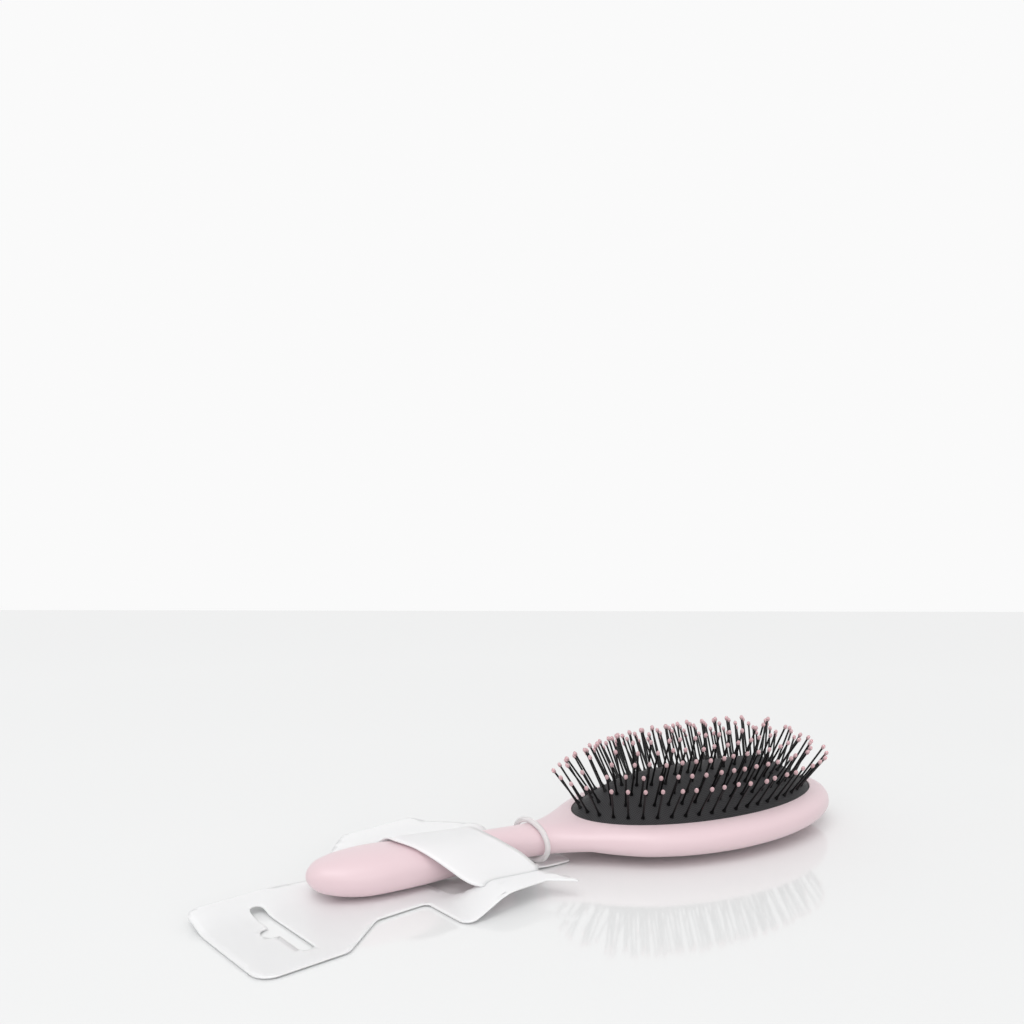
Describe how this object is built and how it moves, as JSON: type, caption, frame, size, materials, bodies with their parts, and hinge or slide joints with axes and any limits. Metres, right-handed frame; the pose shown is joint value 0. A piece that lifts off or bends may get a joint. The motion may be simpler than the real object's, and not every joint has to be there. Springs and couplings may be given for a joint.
{
  "type": "cushion hair brush",
  "caption": "Oval cushion hair brush with rings of ball-tipped pins on a domed rubber pad, a slim round handle, and a hang card strapped and banded to it.",
  "frame": {"origin": "middle of the flat on the back of the head, under the middle of the cushion", "axes": "+X from the handle to the tip of the head, +Z out of the bristle side"},
  "size_m": [0.2282, 0.0718, 0.0373],
  "materials": {
    "body_pink": "soft-touch matte",
    "pad_rubber": "fine textured matte",
    "pin_black": "gloss",
    "tip_pink": "satin",
    "card_white": "smooth satin",
    "band_clear": "milky translucent"
  },
  "bodies": {
    "brush": {"brush_body": "body_pink", "cushion_pad": "pad_rubber", "hang_tag": "card_white", "neck_band": "band_clear"},
    "ring_1": {"bristle_ring_1": "pin_black", "bristle_tips_1": "tip_pink"},
    "ring_2": {"bristle_ring_2": "pin_black", "bristle_tips_2": "tip_pink"},
    "ring_3": {"bristle_ring_3": "pin_black", "bristle_tips_3": "tip_pink"},
    "ring_4": {"bristle_ring_4": "pin_black", "bristle_tips_4": "tip_pink"},
    "ring_5": {"bristle_ring_5": "pin_black", "bristle_tips_5": "tip_pink"}
  },
  "joints": [
    {"name": "cushion_press", "type": "slide", "parent": "brush", "child": "ring_5", "axis": [0, 0, -1], "range_m": [0, 0.004], "stiffness_N_per_m": 2000, "deforming": ["cushion_pad"]},
    {"name": "ring_1_press", "type": "slide", "parent": "brush", "child": "ring_1", "axis": [0, 0, -1], "range_m": [0, 0.00074]},
    {"name": "ring_2_press", "type": "slide", "parent": "brush", "child": "ring_2", "axis": [0, 0, -1], "range_m": [0, 0.00179]},
    {"name": "ring_3_press", "type": "slide", "parent": "brush", "child": "ring_3", "axis": [0, 0, -1], "range_m": [0, 0.0027]},
    {"name": "ring_4_press", "type": "slide", "parent": "brush", "child": "ring_4", "axis": [0, 0, -1], "range_m": [0, 0.00345]}
  ],
  "couplings": [
    {"joint": "ring_1_press", "follows": "cushion_press", "ratio": 0.1791},
    {"joint": "ring_2_press", "follows": "cushion_press", "ratio": 0.4421},
    {"joint": "ring_3_press", "follows": "cushion_press", "ratio": 0.6697},
    {"joint": "ring_4_press", "follows": "cushion_press", "ratio": 0.8579}
  ]
}
